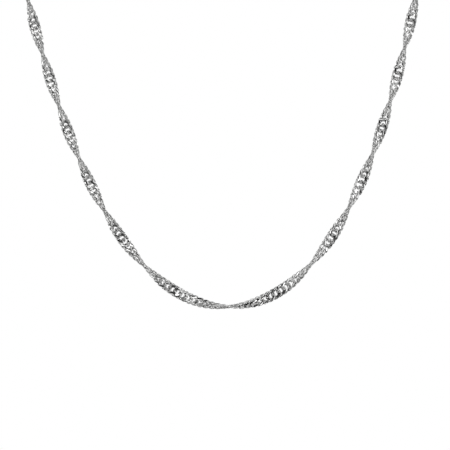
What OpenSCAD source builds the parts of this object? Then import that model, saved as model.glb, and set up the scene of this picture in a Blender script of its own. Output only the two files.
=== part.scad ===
// Singapore chain necklace: a flat curb chain with an even twist, hanging as it is worn.
// The origin is at the nape, +Z is up, and the front of the necklace faces -Y.

/* [Chain] */
// Width across the flat of the chain
chain_w = 2.4; // [1.8:0.1:3]
// Thickness of the flat of the chain
chain_t = 0.7; // [0.5:0.05:1]
// Share of the thickness that is cut off the edges as bevels
bevel = 0.35; // [0.2:0.05:0.45]
// Length of chain between two cross-sections
section_step = 2; // [1.5:0.1:3]

/* [Twist] */
// Length of chain in which the flat makes half a turn
half_turn = 11.2; // [9:0.1:16]
// Length of chain by which the twist is slack at the lowest point
slack = 13.5; // [0:0.5:16]
// Length of chain over which that slack fades away
slack_reach = 26; // [15:1:40]
// Place along the chain, from the lowest point, where the flat is edge-on
edge_on_at = -0.5; // [-5:0.05:5]

/* [Drape] */
// Radius of the curve at the lowest point of the front
sag_r = 18.6; // [16:0.1:22]
// Height of the front that hangs free
front_h = 64; // [50:1:75]
// Drop from the nape to the top of the free front
shoulder_h = 70; // [60:1:80]
// Distance from the nape forward to the front
neck_depth = 85; // [75:1:95]
// Pull of the side stretch where it leaves the front
rise_pull = 50; // [40:1:60]
// Pull of the side stretch where it comes in to the nape
nape_pull = 55; // [45:1:65]

/* [Clasp] */
// Outer diameter of the clasp ring
clasp_d = 6.4; // [5.5:0.1:7]
// Thickness of the clasp ring
clasp_wire = 1.2; // [1:0.05:1.3]
// Outer diameter of the eye of the clasp
eye_d = 2.6; // [2.4:0.1:3]
// Thickness of the eye of the clasp
eye_wire = 0.6; // [0.5:0.05:0.65]
// Length of the thumb knob that stands out of the clasp ring
knob_h = 1.1; // [0.8:0.1:1.5]
// Diameter of the thumb knob
knob_d = 0.9; // [0.7:0.05:1]

/* [End rings] */
// Outer diameter of each end ring
ring_d = 3.6; // [3.4:0.1:4]
// Thickness of each end ring
ring_wire = 0.6; // [0.5:0.05:0.65]
// Tilt of the left end ring about the chain, which turns it across the last link
left_ring_tilt = 30; // [20:5:40]

/* [Hidden] */
$fn = 48;

// Small gap between pieces that hang in each other, and between the chain halves
play = 0.15;
seam = 0.1;
// Half of the straight stretch at the nape
nape_flat = 7;
// Points along each of the two curves of the route
curve_n = 120;

// Clasp layout along X: the eye is sunk into the ring, and an end ring hangs in each
eye_sink = 0.4;
eye_reach = clasp_d / 2 + eye_d / 2 - eye_sink;
ring_hole = ring_d / 2 - ring_wire;
right_reach = clasp_d / 2 - clasp_wire + ring_hole - play;
left_reach = eye_reach + eye_d / 2 - eye_wire + ring_hole - play;
ring_x = (left_reach + right_reach) / 2;
clasp_x = (left_reach - right_reach) / 2;
chain_end_x = ring_x + ring_d / 2 + play;

function unit(v) = v / norm(v);
function asinh(x) = ln(x + sqrt(x * x + 1));
function tanh(x) = (exp(2 * x) - 1) / (exp(2 * x) + 1);

// The front hangs as a catenary, s measured along it from the lowest point
front_arc = sqrt((front_h + sag_r)^2 - sag_r^2);
function hang(s) = [
    sag_r * asinh(s / sag_r),
    -neck_depth,
    sqrt(sag_r^2 + s^2) - sag_r - front_h - shoulder_h
];

// The side runs on over the shoulder to the nape as one cubic curve
side_from = hang(front_arc);
side_up = side_from + rise_pull * unit([sag_r, 0, front_arc]);
side_to = [nape_flat, 0, 0];
side_in = side_to + [nape_pull, 0, 0];
function side_run(u) =
    (1 - u)^3 * side_from + 3 * (1 - u)^2 * u * side_up
    + 3 * (1 - u) * u^2 * side_in + u^3 * side_to;

// One half of the route, from the lowest point to the nape, and the length run at each point
route = concat(
    [for (i = [0:curve_n]) hang(front_arc * i / curve_n)],
    [for (i = [1:curve_n]) side_run(i / curve_n)],
    [[0, 0, 0]]
);
run = [
    for (i = 0, sum = 0; i < len(route);
        sum = sum + (i + 1 < len(route) ? norm(route[i + 1] - route[i]) : 0), i = i + 1)
        sum
];
half_len = run[len(run) - 1];
along = [for (k = [0:2]) [for (i = [0:len(route) - 1]) [run[i], route[i][k]]]];
function at(s) = [for (k = [0:2]) lookup(s, along[k])];

// Half turns that the flat has made at s, which is negative on the left half
function half_turns(s) =
    (s - edge_on_at - slack * tanh((s - edge_on_at) / slack_reach)) / half_turn;

// Cross-section of the flat: a bar with bevelled edges
half_w = chain_w / 2;
half_t = chain_t / 2;
cut = chain_t * bevel;
section = [
    [half_w, half_t - cut], [half_w - cut, half_t], [cut - half_w, half_t], [-half_w, half_t - cut],
    [-half_w, cut - half_t], [cut - half_w, -half_t], [half_w - cut, -half_t], [half_w, cut - half_t]
];

// Cross-sections along one half: place, direction, and a side vector carried along untwisted
chain_len = half_len - chain_end_x - seam / 2;
steps = round(chain_len / section_step);
stations = [for (i = [0:steps]) seam / 2 + chain_len * i / steps];
heads = [for (s = stations) unit(at(s + section_step / 4) - at(s - section_step / 4))];
function square_to(v, head) = unit(v - (v * head) * head);
sides = [
    for (i = 0, v = [0, -1, 0]; i <= steps;
        v = i < steps ? square_to(v, heads[i + 1]) : v, i = i + 1)
        v
];

// Corners of cross-section i on the right (hand = 1) or on the left (hand = -1)
function corners(i, hand) =
    let (
        turn = 180 * half_turns(hand * stations[i]),
        across = sides[i] * cos(turn) + cross(sides[i], heads[i]) * sin(turn),
        through = cross(heads[i], across)
    )
    [
        for (c = section)
            let (p = at(stations[i]) + c[0] * across + c[1] * through)
            [hand * p[0], p[1], p[2]]
    ];

function flip(face, hand) = hand > 0 ? face : [for (i = [len(face) - 1:-1:0]) face[i]];

// One half of the chain as a twisted flat tube
module chain_half(hand) {
    n = len(section);
    points = [for (i = [0:steps]) each corners(i, hand)];
    // The faces fold outwards along their diagonals, which the mirrored half needs the other way
    skin = [
        for (i = [0:steps - 1], j = [0:n - 1])
            let (a = i * n + j, b = i * n + (j + 1) % n)
            each hand > 0 ? [[a, b, b + n], [a, b + n, a + n]] : [[a, b, a + n], [b, b + n, a + n]]
    ];
    start = [for (j = [n - 1:-1:0]) j];
    end = [for (j = [0:n - 1]) steps * n + j];
    faces = [for (f = concat(skin, [start, end])) flip(f, hand)];
    color("silver") polyhedron(points, faces);
}

module round_ring(outer_d, wire) {
    rotate_extrude() translate([(outer_d - wire) / 2, 0]) circle(d = wire);
}

module chain_left() chain_half(-1);
module chain_right() chain_half(1);

// Spring ring clasp, lying flat on the nape: ring, eye and thumb knob in one piece
module clasp() {
    color("gainsboro") translate([clasp_x, 0, 0]) rotate([90, 0, 0]) {
        round_ring(clasp_d, clasp_wire);
        translate([-eye_reach, 0, 0]) round_ring(eye_d, eye_wire);
        rotate([-90, 0, 0]) translate([0, 0, (clasp_d - clasp_wire) / 2])
            cylinder(d = knob_d, h = clasp_wire / 2 + knob_h);
    }
}

module end_ring(hand, tilt) {
    color("gainsboro") translate([hand * ring_x, 0, 0]) rotate([tilt, 0, 0])
        round_ring(ring_d, ring_wire);
}
module end_ring_left() end_ring(-1, left_ring_tilt);
module end_ring_right() end_ring(1, 0);

chain_left();
chain_right();
clasp();
end_ring_left();
end_ring_right();
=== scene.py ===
"""Singapore chain necklace: its single links, the finish of its metal, and a plain studio.

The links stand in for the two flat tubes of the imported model. They follow the same route and the
same twist, worked out from the sizes below. Lengths are in metres.
"""

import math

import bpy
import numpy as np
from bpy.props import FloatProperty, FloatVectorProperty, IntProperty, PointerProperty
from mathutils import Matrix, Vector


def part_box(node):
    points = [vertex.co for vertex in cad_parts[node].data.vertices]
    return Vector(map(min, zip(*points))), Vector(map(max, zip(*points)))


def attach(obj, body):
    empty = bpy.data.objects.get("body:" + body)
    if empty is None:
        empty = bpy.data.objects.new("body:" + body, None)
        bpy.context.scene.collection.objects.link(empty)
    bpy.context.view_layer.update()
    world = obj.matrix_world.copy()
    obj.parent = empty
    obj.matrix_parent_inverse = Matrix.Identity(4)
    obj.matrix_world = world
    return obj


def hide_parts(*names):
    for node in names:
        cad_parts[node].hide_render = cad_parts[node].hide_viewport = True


bl_info = {
    "name": "Singapore Chain Necklace",
    "version": (1, 0, 0),
    "blender": (4, 5, 0),
    "location": "3D View > Sidebar > Necklace",
    "description": "Builds the links of a twisted curb chain, finishes its clasp and sets up a studio",
    "category": "Object",
}

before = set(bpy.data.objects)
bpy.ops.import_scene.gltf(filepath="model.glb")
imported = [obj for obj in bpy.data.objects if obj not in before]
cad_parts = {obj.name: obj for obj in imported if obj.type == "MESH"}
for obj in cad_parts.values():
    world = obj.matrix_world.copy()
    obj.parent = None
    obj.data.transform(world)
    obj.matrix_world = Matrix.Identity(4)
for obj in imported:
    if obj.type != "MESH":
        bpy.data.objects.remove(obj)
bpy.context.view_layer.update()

MM = 0.001

# Steps round a link, up each side of its wire, and across each of the wire's two cut faces
ROUND = 40
SIDE_STEPS = 4
FACE_STEPS = 3
AROUND = 2 * (SIDE_STEPS + FACE_STEPS)

# Where the edge of a cut face is measured, as a share of the wire's half width, and how low and
# how high it may lie on the wire's side, as shares of its half height
FACE_EDGE = 0.7
CUT_RANGE = (0.2, 0.985)

# Seed of the random tilts of the cut faces
TILT_SEED = 12

# What the mesh of the links keeps for their materials
WIRE_PLACE, LINK_NUMBER = "wire_place", "link_number"


class RouteSizes(bpy.types.PropertyGroup):
    """How the necklace hangs"""

    sag_radius: FloatProperty(
        name="Sag Radius", description="Radius of the hanging curve at its lowest point",
        default=18.6 * MM, min=0.001, unit="LENGTH")
    front_height: FloatProperty(
        name="Front Height", description="Height of the front that hangs free",
        default=64 * MM, min=0.001, unit="LENGTH")
    shoulder_drop: FloatProperty(
        name="Shoulder Drop", description="Drop from the nape to the top of the free front",
        default=70 * MM, min=0.001, unit="LENGTH")
    neck_depth: FloatProperty(
        name="Neck Depth", description="Distance from the nape forward to the front",
        default=85 * MM, min=0.001, unit="LENGTH")
    rise_pull: FloatProperty(
        name="Rise Pull", description="Pull of the side stretch where it leaves the front",
        default=50 * MM, min=0.0, unit="LENGTH")
    nape_pull: FloatProperty(
        name="Nape Pull", description="Pull of the side stretch where it comes in to the nape",
        default=55 * MM, min=0.0, unit="LENGTH")
    nape_flat: FloatProperty(
        name="Nape Flat", description="Half of the straight stretch at the nape",
        default=7 * MM, min=0.0, unit="LENGTH")


class TwistSizes(bpy.types.PropertyGroup):
    """How the flat of the chain turns along its length"""

    half_turn: FloatProperty(
        name="Half Turn", description="Length of chain in which the flat makes half a turn",
        default=11.2 * MM, min=0.001, unit="LENGTH")
    slack: FloatProperty(
        name="Slack", description="Length by which the twist is slack at the lowest point",
        default=13.5 * MM, min=0.0, unit="LENGTH")
    slack_reach: FloatProperty(
        name="Slack Reach", description="Length of chain over which that slack fades away",
        default=26 * MM, min=0.001, unit="LENGTH")
    edge_on_at: FloatProperty(
        name="Edge On At", description="Place from the lowest point where the flat is edge-on",
        default=-0.5 * MM, unit="LENGTH")


class LinkSizes(bpy.types.PropertyGroup):
    """One link of the chain, lying flat"""

    count: IntProperty(
        name="Links per Half", description="Links in each half of the chain",
        default=176, min=2)
    passes: IntProperty(
        name="Passes", description="Neighbours on each side that a link passes through",
        default=2, min=1, max=2)
    width: FloatProperty(
        name="Width", description="Width across the flat of the chain",
        default=2.4 * MM, min=0.0001, unit="LENGTH")
    thickness: FloatProperty(
        name="Thickness", description="Thickness of the flat between its two cut faces",
        default=0.7 * MM, min=0.0001, unit="LENGTH")
    bow_wire: FloatProperty(
        name="Bow Wire", description="Width of the wire at the two bows of a link",
        default=0.46 * MM, min=0.0001, unit="LENGTH")
    side_wire: FloatProperty(
        name="Side Wire", description="Width of the wire where it lies over or under its neighbour",
        default=0.60 * MM, min=0.0001, unit="LENGTH")
    wire_height: FloatProperty(
        name="Wire Height", description="Height of the wire before the faces are cut",
        default=0.34 * MM, min=0.0001, unit="LENGTH")
    layer: FloatProperty(
        name="Layer", description="Height at which a side lies over or under its neighbour",
        default=0.26 * MM, min=0.0001, unit="LENGTH")
    ease: FloatProperty(
        name="Ease", description="How gently a side passes from over to under",
        default=0.6, min=0.1, max=2.0)
    play: FloatProperty(
        name="Play", description="Play between a link and the next that it holds",
        default=0.02 * MM, min=0.0, unit="LENGTH")
    ring_play: FloatProperty(
        name="Ring Play", description="Play between the last link and its end ring",
        default=0.1 * MM, min=0.0, unit="LENGTH")
    side_point: FloatProperty(
        name="Side Point", description="How pointed a link is at its sides: 1 for an oval",
        default=1.4, min=1.0, max=2.0)
    bow_point: FloatProperty(
        name="Bow Point", description="How pointed a link is at its bows: 1 for an oval",
        default=1.2, min=1.0, max=2.0)
    crown: FloatProperty(
        name="Crown", description="Height by which a cut face is crowned across the wire",
        default=0.05 * MM, min=0.0, unit="LENGTH")
    face_tilt: FloatProperty(
        name="Face Tilt", description="Largest tilt of a cut face along its link, and across it",
        default=math.radians(6), min=0.0, subtype="ANGLE")


class FinishSizes(bpy.types.PropertyGroup):
    """Colours and gloss of the metal"""

    silver: FloatVectorProperty(
        name="Silver", description="Colour of the polished metal",
        default=(0.93, 0.93, 0.925), min=0.0, max=1.0, subtype="COLOR")
    wire_roughness: FloatProperty(
        name="Wire Roughness", description="Roughness of the drawn wire",
        default=0.07, min=0.0, max=1.0, subtype="FACTOR")
    cut_roughness: FloatProperty(
        name="Cut Roughness", description="Roughness of the diamond-cut faces",
        default=0.05, min=0.0, max=1.0, subtype="FACTOR")
    gloss_spread: FloatProperty(
        name="Gloss Spread", description="How much the gloss differs from link to link",
        default=0.3, min=0.0, max=1.0, subtype="FACTOR")
    tone_spread: FloatProperty(
        name="Tone Spread", description="How much darker the dullest link is than the brightest",
        default=0.12, min=0.0, max=1.0, subtype="FACTOR")
    line_gap: FloatProperty(
        name="Line Gap", description="Gap between the fine lines on the wire and the cut faces",
        default=0.06 * MM, min=0.000001, unit="LENGTH")
    line_stretch: FloatProperty(
        name="Line Stretch", description="Length of such a line, in gaps between the lines",
        default=12.0, min=1.0)
    draw_line_depth: FloatProperty(
        name="Draw Line Depth", description="Depth of the draw lines on the wire",
        default=0.006 * MM, min=0.0, unit="LENGTH")
    cut_line_depth: FloatProperty(
        name="Cut Line Depth", description="Depth of the tool lines on the cut faces",
        default=0.00075 * MM, min=0.0, unit="LENGTH")
    tumble_gap: FloatProperty(
        name="Tumble Gap", description="Size of the soft dents on the clasp and the end rings",
        default=0.5 * MM, min=0.000001, unit="LENGTH")
    tumble_depth: FloatProperty(
        name="Tumble Depth", description="Depth of the soft dents on the clasp and the end rings",
        default=0.01 * MM, min=0.0, unit="LENGTH")


class StageSizes(bpy.types.PropertyGroup):
    """Camera, floor and light"""

    lens: FloatProperty(
        name="Lens", description="Focal length of the camera",
        default=180.0, min=20.0, unit="CAMERA")
    view_width: FloatProperty(
        name="View Width", description="Width of the view at the front of the necklace",
        default=93.75 * MM, min=0.001, unit="LENGTH")
    low_right: FloatProperty(
        name="Low Point Right", description="Lowest point, right of the middle of the view",
        default=0.97 * MM, unit="LENGTH")
    low_down: FloatProperty(
        name="Low Point Down", description="Lowest point, below the middle of the view",
        default=17.0 * MM, unit="LENGTH")
    roll: FloatProperty(
        name="Roll", description="Clockwise roll of the camera",
        default=math.radians(1.3), subtype="ANGLE")
    floor_drop: FloatProperty(
        name="Floor Drop", description="Height of the necklace above the floor",
        default=60 * MM, min=0.0, unit="LENGTH")
    floor_width: FloatProperty(
        name="Floor Width", description="Width of the square floor",
        default=6.0, min=0.1, unit="LENGTH")
    patch_density: FloatProperty(
        name="Patch Density", description="Patches of light and dark in the room, per radian",
        default=5.0, min=0.1)
    patch_contrast: FloatProperty(
        name="Patch Contrast", description="How few of those patches are bright",
        default=3.4, min=0.1)
    patch_strength: FloatProperty(
        name="Patch Strength", description="Strength of the brightest patch",
        default=2.2, min=0.0)
    patch_shift: FloatProperty(
        name="Patch Shift", description="Which stretch of the endless pattern the room shows",
        default=10.0)


def unit(v):
    return v / np.linalg.norm(v, axis=-1, keepdims=True)


def half_route(r, points=1200):
    """Points of the right half of the route, from its lowest point to the nape."""
    arc = math.sqrt((r.front_height + r.sag_radius) ** 2 - r.sag_radius ** 2)
    s = np.linspace(0, arc, points)
    hang = np.stack([
        r.sag_radius * np.arcsinh(s / r.sag_radius),
        np.full(points, -r.neck_depth),
        np.hypot(r.sag_radius, s) - r.sag_radius - r.front_height - r.shoulder_drop,
    ], axis=1)
    start, end = hang[-1], np.array([r.nape_flat, 0, 0])
    up = start + r.rise_pull * unit(np.array([r.sag_radius, 0, arc]))
    side = end + [r.nape_pull, 0, 0]
    u = np.linspace(0, 1, points)[1:, None]
    first_half = (1 - u) ** 3 * start + 3 * (1 - u) ** 2 * u * up
    second_half = 3 * (1 - u) * u ** 2 * side + u ** 3 * end
    return np.vstack([hang, first_half + second_half, [[0, 0, 0]]])


def carried(directions, first):
    """A side vector carried along the directions without turning about them."""
    sides = [first]
    for head in directions[1:]:
        v = sides[-1] - np.dot(sides[-1], head) * head
        sides.append(v / np.linalg.norm(v))
    return np.array(sides)


class Lay:
    """The place, width and depth of the flat at any length s from the lowest point."""

    def __init__(self, route, twist, step=0.2 * MM):
        points = half_route(route)
        run = np.concatenate([[0], np.cumsum(np.linalg.norm(np.diff(points, axis=0), axis=1))])
        self.half_length = run[-1]
        s = np.linspace(0, run[-1], int(run[-1] / step) + 1)
        right = np.stack([np.interp(s, run, points[:, k]) for k in range(3)], axis=1)
        ahead = unit(np.gradient(right, s, axis=0))
        side = carried(ahead, np.array([0.0, -1.0, 0.0]))
        mirror = np.array([-1, 1, 1])
        self.s = np.concatenate([-s[:0:-1], s])
        place = np.concatenate([mirror * right[:0:-1], right])
        ahead = np.concatenate([-mirror * ahead[:0:-1], ahead])
        side = np.concatenate([mirror * side[:0:-1], side])
        since = self.s - twist.edge_on_at
        half_turns = (since - twist.slack * np.tanh(since / twist.slack_reach)) / twist.half_turn
        turn = (math.pi * half_turns)[:, None]
        width = side * np.cos(turn) + np.cross(side, ahead) * np.sin(turn)
        self.columns = np.concatenate([place, width, np.cross(ahead, width)], axis=1)
        self.turn_rates = np.gradient(turn[:, 0], self.s)

    def at(self, s):
        """Place, width and depth vectors at the lengths s, an array of any shape."""
        found = np.stack([np.interp(s, self.s, c) for c in self.columns.T], axis=-1)
        return found[..., 0:3], unit(found[..., 3:6]), unit(found[..., 6:9])

    def turn_rate(self, s):
        """How fast the flat turns at the lengths s, in radians a metre."""
        return np.interp(s, self.s, self.turn_rates)


def link_pitch(sizes, lay):
    """Pitch of the links that brings the last bow into the end ring, and half a link's length."""
    ring_low, ring_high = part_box("end_ring_right")
    ring_wire = ring_high.z - ring_low.z
    ring_inside = ring_high.x - ring_wire
    last_middle = lay.half_length - (ring_inside - sizes.ring_play - sizes.bow_wire / 2)
    pitch = (last_middle - sizes.bow_wire / 2) / (sizes.count + (sizes.passes - 1) / 2)
    return pitch, (sizes.passes * pitch + sizes.bow_wire + sizes.play) / 2


def wire_middle(sizes, half_long, t):
    """The middle line of a link's wire, at the angles t round the link."""
    half_wide = (sizes.width - sizes.bow_wire) / 2
    wave = np.sin(2 * t)
    over = wave * math.sqrt(1 + sizes.ease ** 2) / np.sqrt(wave ** 2 + sizes.ease ** 2)
    along, across = np.cos(t), np.sin(t)
    return np.stack([
        half_long * np.sign(along) * np.abs(along) ** sizes.side_point,
        half_wide * np.sign(across) * np.abs(across) ** sizes.bow_point,
        -sizes.layer * over,
    ], axis=-1)


def link_points(sizes, half_long, tilts, turn_rates):
    """Points of links lying flat, as (link, place round the link, place round the wire, xyz), and
    the same points measured along the wire, as (across it, up it, from the end of the link).

    The wire runs over its neighbours on two quarters of a link and under them on the other two.
    Its section is an oval, cut off at the two faces of the flat. Each quarter that lies over has a
    cut face of its own, crowned a little across the wire. Along the wire it is flat in space,
    although the chain turns there, and tilted a little by tilts."""
    t = np.arange(ROUND) * 2 * math.pi / ROUND
    centre = wire_middle(sizes, half_long, t)
    step = math.pi / 3000
    head = unit(wire_middle(sizes, half_long, t + step) - wire_middle(sizes, half_long, t - step))
    out = unit(np.stack([head[:, 1], -head[:, 0], 0 * t], axis=-1))
    up = np.cross(out, head)
    up *= np.sign(up[:, 2:3])
    wide = (sizes.bow_wire + (sizes.side_wire - sizes.bow_wire) * np.sin(2 * t) ** 2) / 2
    tall = sizes.wire_height / 2
    bend = wide[:, None] / tall
    quarter_middle = wire_middle(sizes, half_long, (np.floor(2 * t / math.pi) + 0.5) * math.pi / 2)
    strand = (np.sin(t) < 0).astype(int)

    def cut_angle(face, side):
        """Angle up the wire at which an upper (0) or lower (1) cut face ends, on its outer (1) or
        inner (-1) side."""
        beside = (centre + side * FACE_EDGE * wide[:, None] * out - quarter_middle)[:, :2]
        tilted = (tilts[:, face][:, strand] * beside).sum(axis=-1)
        untwisted = turn_rates[:, None] * beside.prod(axis=-1)
        height = sizes.thickness / 2 - sizes.crown + tilted + (1, -1)[face] * (untwisted - centre[:, 2])
        return np.arcsin(np.clip(height / tall, *CUT_RANGE))

    def side_points(side):
        """Points up one side of the wire, between its two cut faces, turning evenly."""
        low, top = (np.arctan(bend * np.tan(cut_angle(face, side))[..., None]) for face in (1, 0))
        turn = (low + top) * np.linspace(0, 1, SIDE_STEPS + 1) - low
        angle = np.arctan(np.tan(turn) / bend)
        return np.stack([side * wide[:, None] * np.cos(angle), tall * np.sin(angle)])

    def face_points(start, end, crown):
        """Points across a cut face between its two edges."""
        share = np.linspace(0, 1, FACE_STEPS + 1)[1:-1]
        points = start[..., None] * (1 - share) + end[..., None] * share
        face_share = (start[0] - end[0]) / (2 * wide)
        points[1] += crown * (face_share ** 2)[..., None] * 4 * share * (1 - share)
        return points

    outer, inner = side_points(1), side_points(-1)[..., ::-1]
    across, through = np.concatenate([
        outer, face_points(outer[..., -1], inner[..., 0], sizes.crown),
        inner, face_points(inner[..., -1], outer[..., 0], -sizes.crown),
    ], axis=-1)
    points = centre[:, None] + across[..., None] * out[:, None] + through[..., None] * up[:, None]
    from_end = half_long * np.minimum(t, 2 * math.pi - t)[:, None]
    return points, np.stack(np.broadcast_arrays(across, through, from_end), axis=-1)


def link_faces(links):
    """Quads of the links, and the material index of each: 1 on the cut faces."""
    i, j = np.meshgrid(np.arange(ROUND), np.arange(AROUND), indexing="ij")
    ahead, turn = (i + 1) % ROUND * AROUND, (j + 1) % AROUND
    quad = np.stack([i * AROUND + j, ahead + j, ahead + turn, i * AROUND + turn], axis=-1)
    offset = (np.arange(links) * ROUND * AROUND)[:, None, None]
    cut = (j % (SIDE_STEPS + FACE_STEPS) >= SIDE_STEPS).reshape(-1)
    return (quad.reshape(-1, 4)[None] + offset).reshape(-1, 4), np.tile(cut, links).astype(np.int32)


def mark_cut_edges(mesh):
    """Keeps the edges of the cut faces sharp: they run along the wire at its four corners."""
    ends = np.empty(2 * len(mesh.edges), dtype=np.int32)
    mesh.edges.foreach_get("vertices", ends)
    place = ends.reshape(-1, 2) % AROUND
    corner = np.isin(place[:, 0] % (SIDE_STEPS + FACE_STEPS), (0, SIDE_STEPS))
    sharp = mesh.attributes.new("sharp_edge", "BOOLEAN", "EDGE")
    sharp.data.foreach_set("value", corner & (place[:, 0] == place[:, 1]))


def keep_on_points(mesh, name, kind, values):
    """Keeps a value for each point of the mesh, for its material to read."""
    data = mesh.attributes.new(name, kind, "POINT").data
    data.foreach_set("vector" if kind == "FLOAT_VECTOR" else "value", values.ravel())


def links_object(name, points, materials):
    """An object of all the links whose points are given."""
    faces, material_index = link_faces(len(points))
    mesh = bpy.data.meshes.new(name)
    mesh.from_pydata(points.reshape(-1, 3).tolist(), [], faces.tolist())
    for material in materials:
        mesh.materials.append(material)
    mesh.polygons.foreach_set("material_index", material_index)
    mesh.polygons.foreach_set("use_smooth", np.ones(len(faces), dtype=bool))
    mark_cut_edges(mesh)
    mesh.update()
    obj = bpy.data.objects.new(name, mesh)
    bpy.context.scene.collection.objects.link(obj)
    return obj


def new_material(name, colour, roughness):
    """A metallic material of one colour and roughness, and its nodes, links and shader."""
    material = bpy.data.materials.new(name)
    material.use_nodes = True
    nodes, links = material.node_tree.nodes, material.node_tree.links
    shader = nodes["Principled BSDF"]
    shader.inputs["Base Color"].default_value = (*colour, 1)
    shader.inputs["Metallic"].default_value = 1.0
    shader.inputs["Roughness"].default_value = roughness
    return material, nodes, links, shader


def spread(nodes, links, value, low, high):
    """A value between 0 and 1 carried over to the range from low to high."""
    span = nodes.new("ShaderNodeMapRange")
    span.inputs["To Min"].default_value = low
    span.inputs["To Max"].default_value = high
    links.new(value, span.inputs["Value"])
    return span.outputs["Result"]


def fine_lines(nodes, links, place, per_metre, detail):
    """Noise drawn out into lines: per_metre is how many there are along each axis of place."""
    scaled = nodes.new("ShaderNodeVectorMath")
    scaled.operation = "MULTIPLY"
    scaled.inputs[1].default_value = per_metre
    links.new(place, scaled.inputs[0])
    noise = nodes.new("ShaderNodeTexNoise")
    noise.inputs["Scale"].default_value = 1.0
    noise.inputs["Detail"].default_value = detail
    links.new(scaled.outputs["Vector"], noise.inputs["Vector"])
    return noise.outputs["Fac"]


def raise_surface(nodes, links, shader, height, depth):
    bump = nodes.new("ShaderNodeBump")
    bump.inputs["Distance"].default_value = depth
    links.new(height, bump.inputs["Height"])
    links.new(bump.outputs["Normal"], shader.inputs["Normal"])


def worn_roughness(nodes, links, shader, wear, roughness):
    """Roughness from half as much to half as much again, as wear goes from 0 to 1."""
    links.new(spread(nodes, links, wear, roughness * 0.5, roughness * 1.5), shader.inputs["Roughness"])


def link_finish(name, finish, roughness, lines, depth):
    """Silver with fine lines along or across the wire, and a tone and gloss that differ by link."""
    material, nodes, links, shader = new_material(name, finish.silver, roughness)
    wire = nodes.new("ShaderNodeAttribute")
    wire.attribute_name = WIRE_PLACE
    height = fine_lines(nodes, links, wire.outputs["Vector"], lines, 2.0)
    raise_surface(nodes, links, shader, height, depth)
    number = nodes.new("ShaderNodeAttribute")
    number.attribute_name = LINK_NUMBER
    chance = nodes.new("ShaderNodeTexWhiteNoise")
    chance.noise_dimensions = "1D"
    links.new(number.outputs["Fac"], chance.inputs["W"])
    least, most = 1 - finish.gloss_spread, 1 + finish.gloss_spread
    wear = nodes.new("ShaderNodeMath")
    wear.operation = "MULTIPLY"
    links.new(height, wear.inputs[0])
    links.new(spread(nodes, links, chance.outputs["Value"], least, most), wear.inputs[1])
    worn_roughness(nodes, links, shader, wear.outputs["Value"], roughness)
    tone = nodes.new("ShaderNodeMix")
    tone.data_type = "RGBA"
    tone.inputs["A"].default_value = (*(c * (1 - finish.tone_spread) for c in finish.silver), 1)
    tone.inputs["B"].default_value = (*finish.silver, 1)
    links.new(chance.outputs["Value"], tone.inputs["Factor"])
    links.new(tone.outputs["Result"], shader.inputs["Base Color"])
    return material


def drawn_wire_material(finish):
    """Polished drawn wire: its lines run along the wire."""
    fine, long = 1 / finish.line_gap, 1 / (finish.line_gap * finish.line_stretch)
    return link_finish("drawn_wire_silver", finish, finish.wire_roughness,
                       (fine, fine, long), finish.draw_line_depth)


def cut_face_material(finish):
    """The mirror-bright faces left by the diamond cut: faint tool lines run across them."""
    fine, long = 1 / finish.line_gap, 1 / (finish.line_gap * finish.line_stretch)
    return link_finish("diamond_cut_silver", finish, finish.cut_roughness,
                       (long, long, fine), finish.cut_line_depth)


def fitting_material(finish):
    """Polished clasp and rings, with a faint unevenness from tumbling."""
    material, nodes, links, shader = new_material("fitting_silver", finish.silver, finish.wire_roughness)
    place = nodes.new("ShaderNodeTexCoord").outputs["Object"]
    height = fine_lines(nodes, links, place, (1 / finish.tumble_gap,) * 3, 3.0)
    raise_surface(nodes, links, shader, height, finish.tumble_depth)
    worn_roughness(nodes, links, shader, height, finish.wire_roughness)
    return material


class NECKLACE_OT_links(bpy.types.Operator):
    """Build the interlocking links of both halves of the chain"""

    bl_idname = "necklace.links"
    bl_label = "Build Links"

    def execute(self, context):
        scene = context.scene
        sizes = scene.necklace_links
        lay = Lay(scene.necklace_route, scene.necklace_twist)
        pitch, half_long = link_pitch(sizes, lay)
        materials = [make(scene.necklace_finish) for make in (drawn_wire_material, cut_face_material)]
        random = np.random.default_rng(TILT_SEED)
        numbers = np.arange(sizes.count)
        point_numbers = np.repeat(numbers.astype(float), ROUND * AROUND)
        for hand, side in ((-1, "left"), (1, "right")):
            tilts = math.tan(sizes.face_tilt) * random.uniform(-1, 1, (sizes.count, 2, 2, 2))
            middles = hand * pitch * (numbers + 0.5)
            flat, wire_place = link_points(sizes, half_long, tilts, lay.turn_rate(middles))
            place, width, depth = lay.at(middles[:, None, None] + flat[..., 0])
            points = place + flat[..., 1:2] * width + flat[..., 2:3] * depth
            obj = links_object("links_" + side, points, materials)
            keep_on_points(obj.data, WIRE_PLACE, "FLOAT_VECTOR", wire_place)
            keep_on_points(obj.data, LINK_NUMBER, "FLOAT", point_numbers)
            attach(obj, "root")
            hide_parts("chain_" + side)
        return {"FINISHED"}


class NECKLACE_OT_fittings(bpy.types.Operator):
    """Give the clasp and its two end rings their finish"""

    bl_idname = "necklace.fittings"
    bl_label = "Finish Fittings"

    def execute(self, context):
        material = fitting_material(context.scene.necklace_finish)
        for name in ("clasp", "end_ring_left", "end_ring_right"):
            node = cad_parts[name]
            node.data.materials.clear()
            node.data.materials.append(material)
        return {"FINISHED"}


# Soft lamps: name, strength, width, height above the horizon and direction seen from above,
# clockwise from the back of the necklace, all but the strength in degrees
LAMPS = (
    ("key_light", 0.05, 30, 55, 200),
    ("fill_light", 0.02, 40, 60, 340),
)


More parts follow.
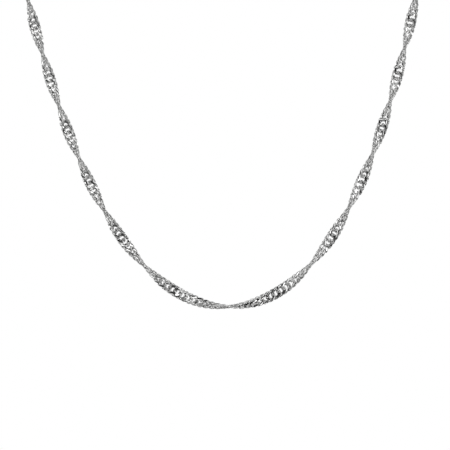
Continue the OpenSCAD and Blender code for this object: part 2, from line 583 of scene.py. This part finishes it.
class NECKLACE_OT_stage(bpy.types.Operator):
    """Set up the camera, the pale floor and the soft studio light"""

    bl_idname = "necklace.stage"
    bl_label = "Set Up Stage"

    def execute(self, context):
        scene = context.scene
        stage, route = scene.necklace_stage, scene.necklace_route
        low_z = -route.shoulder_drop - route.front_height
        self.add_camera(scene, stage, Vector((0, -route.neck_depth, low_z)))
        self.add_floor(scene, stage, low_z - stage.floor_drop)
        self.add_lights(scene)
        self.light_room(scene, stage)
        scene.view_settings.view_transform = "Standard"
        return {"FINISHED"}

    def add_camera(self, scene, stage, low):
        data = bpy.data.cameras.new("camera")
        data.lens = stage.lens
        data.dof.use_dof = False
        camera = bpy.data.objects.new("camera", data)
        scene.collection.objects.link(camera)
        distance = stage.view_width * stage.lens / data.sensor_width
        turn = Matrix.Rotation(stage.roll, 3, "Y") @ Matrix.Rotation(math.radians(90), 3, "X")
        middle = low + turn @ Vector((-stage.low_right, stage.low_down, 0))
        place = middle + turn @ Vector((0, 0, distance))
        camera.matrix_world = Matrix.Translation(place) @ turn.to_4x4()
        data.clip_start = distance * 0.02
        data.clip_end = distance * 50
        scene.camera = camera

    def add_floor(self, scene, stage, height):
        """A pale floor that the camera sees from above, and that the metal doesn't mirror."""
        half = stage.floor_width / 2
        corners = [(-half, -half), (half, -half), (half, half), (-half, half)]
        mesh = bpy.data.meshes.new("floor")
        mesh.from_pydata([(x, y, height) for x, y in corners], [], [(0, 1, 2, 3)])
        material = bpy.data.materials.new("floor_paper")
        material.use_nodes = True
        nodes, links = material.node_tree.nodes, material.node_tree.links
        nodes.remove(nodes["Principled BSDF"])
        paper = nodes.new("ShaderNodeEmission")
        clear = nodes.new("ShaderNodeBsdfTransparent")
        path = nodes.new("ShaderNodeLightPath")
        sides = nodes.new("ShaderNodeNewGeometry")
        seen = nodes.new("ShaderNodeMath")
        seen.operation = "SUBTRACT"
        seen.use_clamp = True
        links.new(path.outputs["Is Camera Ray"], seen.inputs[0])
        links.new(sides.outputs["Backfacing"], seen.inputs[1])
        mix = nodes.new("ShaderNodeMixShader")
        links.new(seen.outputs["Value"], mix.inputs["Fac"])
        links.new(clear.outputs["BSDF"], mix.inputs[1])
        links.new(paper.outputs["Emission"], mix.inputs[2])
        links.new(mix.outputs["Shader"], nodes["Material Output"].inputs["Surface"])
        mesh.materials.append(material)
        floor = bpy.data.objects.new("floor", mesh)
        scene.collection.objects.link(floor)

    def add_lights(self, scene):
        for name, strength, angle, elevation, azimuth in LAMPS:
            data = bpy.data.lights.new(name, "SUN")
            data.energy = strength
            data.angle = math.radians(angle)
            light = bpy.data.objects.new(name, data)
            e, a = math.radians(elevation), math.radians(azimuth)
            towards = Vector((math.sin(a) * math.cos(e), math.cos(a) * math.cos(e), math.sin(e)))
            light.matrix_world = towards.to_track_quat("Z", "Y").to_matrix().to_4x4()
            scene.collection.objects.link(light)

    def light_room(self, scene, stage):
        """White paper to the camera; to the metal, a room of many light and dark patches."""
        world = scene.world or bpy.data.worlds.new("studio")
        scene.world = world
        world.use_nodes = True
        nodes, links = world.node_tree.nodes, world.node_tree.links
        nodes.clear()
        direction = nodes.new("ShaderNodeTexCoord")
        shift = nodes.new("ShaderNodeVectorMath")
        shift.inputs[1].default_value = (stage.patch_shift, 0, 0)
        links.new(direction.outputs["Generated"], shift.inputs[0])
        patches = nodes.new("ShaderNodeTexVoronoi")
        patches.inputs["Scale"].default_value = stage.patch_density
        links.new(shift.outputs["Vector"], patches.inputs["Vector"])
        chance = nodes.new("ShaderNodeSeparateColor")
        links.new(patches.outputs["Color"], chance.inputs["Color"])
        bright = nodes.new("ShaderNodeMath")
        bright.operation = "POWER"
        bright.inputs[1].default_value = stage.patch_contrast
        links.new(chance.outputs["Red"], bright.inputs[0])
        room = nodes.new("ShaderNodeBackground")
        room.inputs["Strength"].default_value = stage.patch_strength
        links.new(bright.outputs["Value"], room.inputs["Color"])
        paper = nodes.new("ShaderNodeBackground")
        paper.inputs["Color"].default_value = (1, 1, 1, 1)
        path = nodes.new("ShaderNodeLightPath")
        mix = nodes.new("ShaderNodeMixShader")
        links.new(path.outputs["Is Camera Ray"], mix.inputs["Fac"])
        links.new(room.outputs["Background"], mix.inputs[1])
        links.new(paper.outputs["Background"], mix.inputs[2])
        out = nodes.new("ShaderNodeOutputWorld")
        links.new(mix.outputs["Shader"], out.inputs["Surface"])


class NECKLACE_PT_panel(bpy.types.Panel):
    """Lists the steps that build the necklace"""

    bl_idname = "NECKLACE_PT_panel"
    bl_label = "Necklace"
    bl_space_type = "VIEW_3D"
    bl_region_type = "UI"
    bl_category = "Necklace"

    def draw(self, context):
        for operator in OPERATORS:
            self.layout.operator(operator.bl_idname)


GROUPS = {
    "necklace_route": RouteSizes,
    "necklace_twist": TwistSizes,
    "necklace_links": LinkSizes,
    "necklace_finish": FinishSizes,
    "necklace_stage": StageSizes,
}
OPERATORS = (NECKLACE_OT_links, NECKLACE_OT_fittings, NECKLACE_OT_stage)


def register():
    for group in GROUPS.values():
        bpy.utils.register_class(group)
    for operator in OPERATORS:
        bpy.utils.register_class(operator)
    bpy.utils.register_class(NECKLACE_PT_panel)
    for name, group in GROUPS.items():
        setattr(bpy.types.Scene, name, PointerProperty(type=group))


def unregister():
    for name in GROUPS:
        delattr(bpy.types.Scene, name)
    bpy.utils.unregister_class(NECKLACE_PT_panel)
    for operator in reversed(OPERATORS):
        bpy.utils.unregister_class(operator)
    for group in reversed(GROUPS.values()):
        bpy.utils.unregister_class(group)


def main():
    register()
    bpy.ops.necklace.links()
    bpy.ops.necklace.fittings()
    bpy.ops.necklace.stage()


if __name__ == "__main__":
    main()
